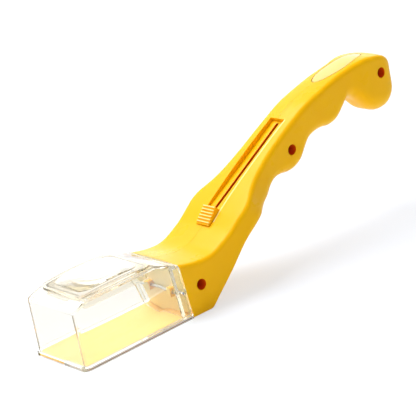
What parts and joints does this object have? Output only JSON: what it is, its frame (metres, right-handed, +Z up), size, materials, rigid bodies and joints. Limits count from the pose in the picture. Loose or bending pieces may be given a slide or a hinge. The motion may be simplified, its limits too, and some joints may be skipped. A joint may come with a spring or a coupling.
{
  "type": "spider catcher",
  "caption": "Clear capture box with a magnifier in its roof, on a curved yellow handle whose thumb slider draws back a flexible floor.",
  "frame": {"origin": "under the middle of the tool's length, on its mirror plane, at the level of the box's rim", "axes": "+X from the box to the butt of the handle, +Y to the left shell, +Z up when the open box stands on its rim"},
  "size_m": [0.335, 0.0646, 0.1214],
  "materials": {
    "clear_styrene": "clear, polished",
    "clear_acrylic": "clear, polished",
    "yellow_abs": "moulded semi-gloss",
    "amber_abs": "moulded semi-gloss",
    "inlay_abs": "polished",
    "acetal": "moulded",
    "lemon_sheet": "satin sheet",
    "lemon_lip": "satin",
    "zinc_steel": "zinc plated",
    "bright_steel": "drawn",
    "rivet_aluminium": "as formed"
  },
  "bodies": {
    "tool": {"capture_box": "clear_styrene", "door_rail_right": "clear_styrene", "door_rail_left": "clear_styrene", "lens_frame": "clear_styrene", "magnifier_lens": "clear_acrylic", "box_retaining_pin": "bright_steel", "handle_shell_right": "yellow_abs", "handle_shell_left": "yellow_abs", "shell_screw_front": "zinc_steel", "shell_screw_middle": "zinc_steel", "shell_screw_rear": "zinc_steel", "oval_inlay": "inlay_abs"},
    "slider": {"thumb_button": "amber_abs", "slider_carriage": "acetal", "strap_rivet": "rivet_aluminium"},
    "trapdoor": {"trapdoor_sheet": "lemon_sheet", "trapdoor_front_lip": "lemon_lip", "drive_strap": "lemon_sheet"}
  },
  "joints": [
    {"name": "button_slide", "type": "slide", "parent": "tool", "child": "slider", "axis": [0.8704, 0, 0.4924], "range_m": [0, 0.0845]},
    {"name": "trapdoor_slide", "type": "slide", "parent": "tool", "child": "trapdoor", "axis": [1, 0, 0], "range_m": [0, 0.0845], "deforming": ["trapdoor_sheet", "drive_strap"]}
  ],
  "couplings": [
    {"joint": "trapdoor_slide", "follows": "button_slide", "ratio": 1}
  ]
}
